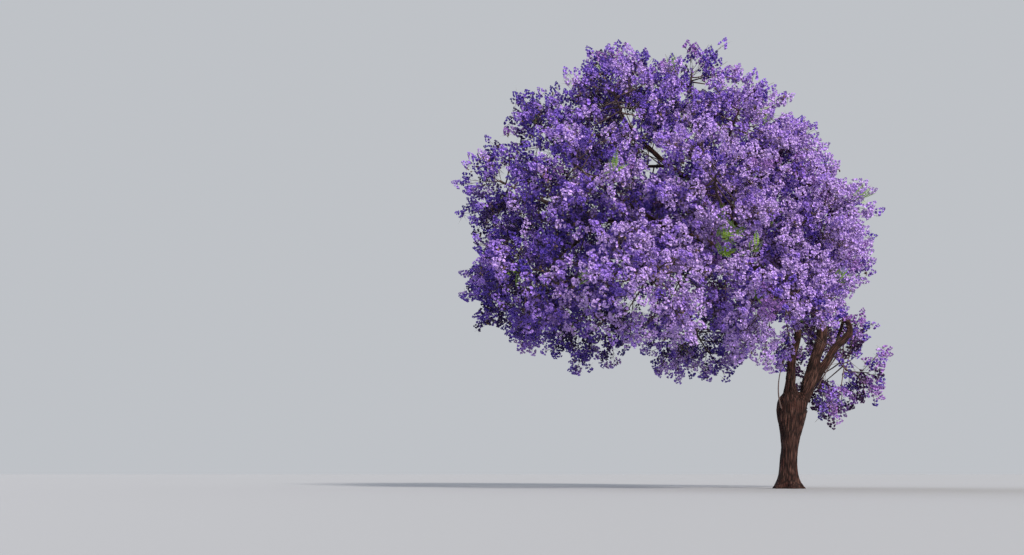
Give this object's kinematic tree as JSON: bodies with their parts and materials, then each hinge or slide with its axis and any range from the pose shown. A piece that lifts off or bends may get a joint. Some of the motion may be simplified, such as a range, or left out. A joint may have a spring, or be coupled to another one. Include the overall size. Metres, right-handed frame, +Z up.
{
  "type": "jacaranda tree in full bloom",
  "caption": "Mature jacaranda tree: a short trunk that forks low into stems, long boughs swept to one side, and a broad domed crown of violet blossom.",
  "frame": {"origin": "middle of the flat cut under the trunk, at ground level", "axes": "+Z up along the plumb line, +X to the right of the picture, +Y away from its camera; the crown leans towards -X"},
  "size_m": [13.7093, 12.7104, 13.9389],
  "materials": {
    "bark": "rough",
    "blossom": "matte"
  },
  "bodies": {
    "root": {"trunk": "bark", "middle_stem": "bark", "bough_upper_4": "bark", "bough_upper_5": "bark", "bough_upper_3": "bark", "bough_heart": "bark", "bough_crest_1": "bark", "bough_upper_1": "bark", "bough_crest_3": "bark", "bough_upper_6": "bark", "bough_shoulder_4": "bark", "bough_shoulder_3": "bark", "bough_upper_2": "bark", "bough_skirt_3": "bark", "bough_skirt_2": "bark", "bough_skirt_1": "bark", "left_stem": "bark", "bough_skirt_4": "bark", "bough_shoulder_6": "bark", "bough_skirt_5": "bark", "bough_skirt_6": "bark", "bough_shoulder_7": "bark", "bough_shoulder_8": "bark", "right_stem": "bark", "bough_shoulder_1": "bark", "bough_wing": "bark", "blossom_wing": "blossom", "blossom_skirt_1": "blossom", "blossom_skirt_2": "blossom", "blossom_skirt_3": "blossom", "blossom_skirt_4": "blossom", "blossom_skirt_5": "blossom", "blossom_skirt_6": "blossom", "blossom_heart": "blossom", "blossom_shoulder_1": "blossom", "blossom_shoulder_2": "blossom", "blossom_shoulder_3": "blossom", "blossom_shoulder_4": "blossom", "blossom_shoulder_5": "blossom", "blossom_shoulder_6": "blossom", "blossom_shoulder_7": "blossom", "blossom_shoulder_8": "blossom", "blossom_upper_1": "blossom", "blossom_upper_2": "blossom", "blossom_upper_3": "blossom", "blossom_upper_4": "blossom", "blossom_upper_5": "blossom", "blossom_upper_6": "blossom", "blossom_crest_1": "blossom", "blossom_crest_2": "blossom", "blossom_crest_3": "blossom"}
  },
  "joints": []
}
